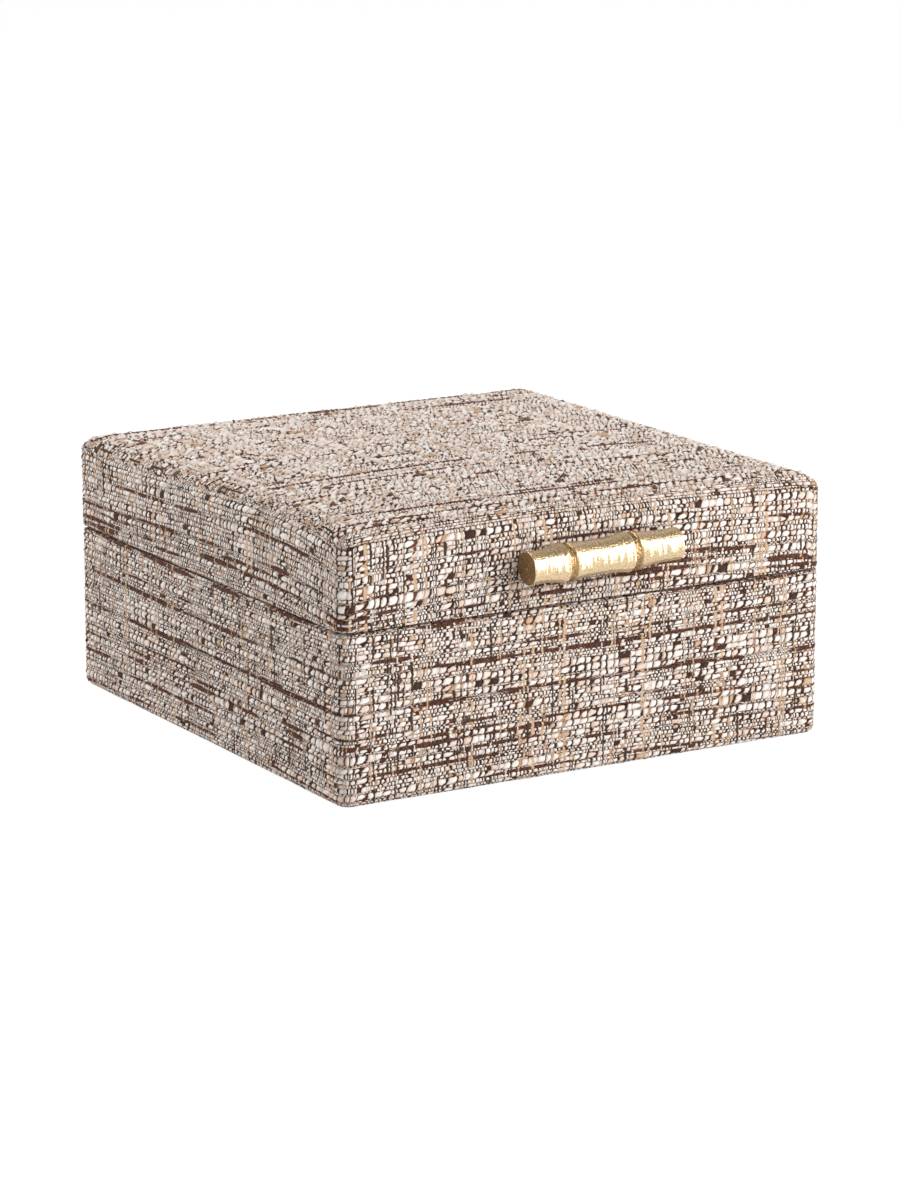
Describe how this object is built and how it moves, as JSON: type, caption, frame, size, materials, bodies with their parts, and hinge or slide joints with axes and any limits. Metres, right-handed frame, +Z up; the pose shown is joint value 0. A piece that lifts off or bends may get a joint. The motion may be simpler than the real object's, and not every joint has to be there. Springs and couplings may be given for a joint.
{
  "type": "hinged keepsake box",
  "caption": "Square fabric-covered keepsake box with a padded lid that turns on back hinges, a lined inside and a cast bamboo-shaped pull on the lid's front.",
  "frame": {"origin": "centre of the box's footprint on the surface it stands on", "axes": "+X to the right along the front, -Y out of the front, +Z up"},
  "size_m": [0.2, 0.2187, 0.1],
  "materials": {
    "tweed": "coarse woven tweed",
    "board": "raw fibreboard",
    "velvet": "short-pile velvet",
    "felt": "pressed felt",
    "foam": "open-cell foam",
    "cast_brass": "satin sand-cast",
    "hinge_brass": "satin",
    "steel": "zinc-plated"
  },
  "bodies": {
    "base": {"base_pad": "felt", "base_bottom_panel": "board", "base_front_wall": "board", "base_back_wall": "board", "base_left_wall": "board", "base_right_wall": "board", "base_fabric_wrap": "tweed", "base_lining_floor": "velvet", "base_lining_front": "velvet", "base_lining_back": "velvet", "base_lining_left": "velvet", "base_lining_right": "velvet", "hinge_left_base_leaf": "hinge_brass", "hinge_right_base_leaf": "hinge_brass", "hinge_left_pin": "hinge_brass", "hinge_right_pin": "hinge_brass", "hinge_left_base_screw_1": "hinge_brass", "hinge_left_base_screw_2": "hinge_brass", "hinge_right_base_screw_1": "hinge_brass", "hinge_right_base_screw_2": "hinge_brass"},
    "lid": {"lid_top_panel": "board", "lid_front_wall": "board", "lid_back_wall": "board", "lid_left_wall": "board", "lid_right_wall": "board", "lid_foam_pad": "foam", "lid_side_wrap": "tweed", "lid_top_cover": "tweed", "lid_lining_top": "velvet", "lid_lining_front": "velvet", "lid_lining_back": "velvet", "lid_lining_left": "velvet", "lid_lining_right": "velvet", "handle_bar": "cast_brass", "handle_screw_left": "steel", "handle_screw_right": "steel", "hinge_left_lid_leaf": "hinge_brass", "hinge_right_lid_leaf": "hinge_brass", "hinge_left_lid_screw_1": "hinge_brass", "hinge_left_lid_screw_2": "hinge_brass", "hinge_right_lid_screw_1": "hinge_brass", "hinge_right_lid_screw_2": "hinge_brass"}
  },
  "joints": [
    {"name": "lid_hinge", "type": "hinge", "parent": "base", "child": "lid", "pos_m": [0, 0.0985, 0.0619], "axis": [-1, 0, 0], "range_deg": [0, 96]}
  ]
}
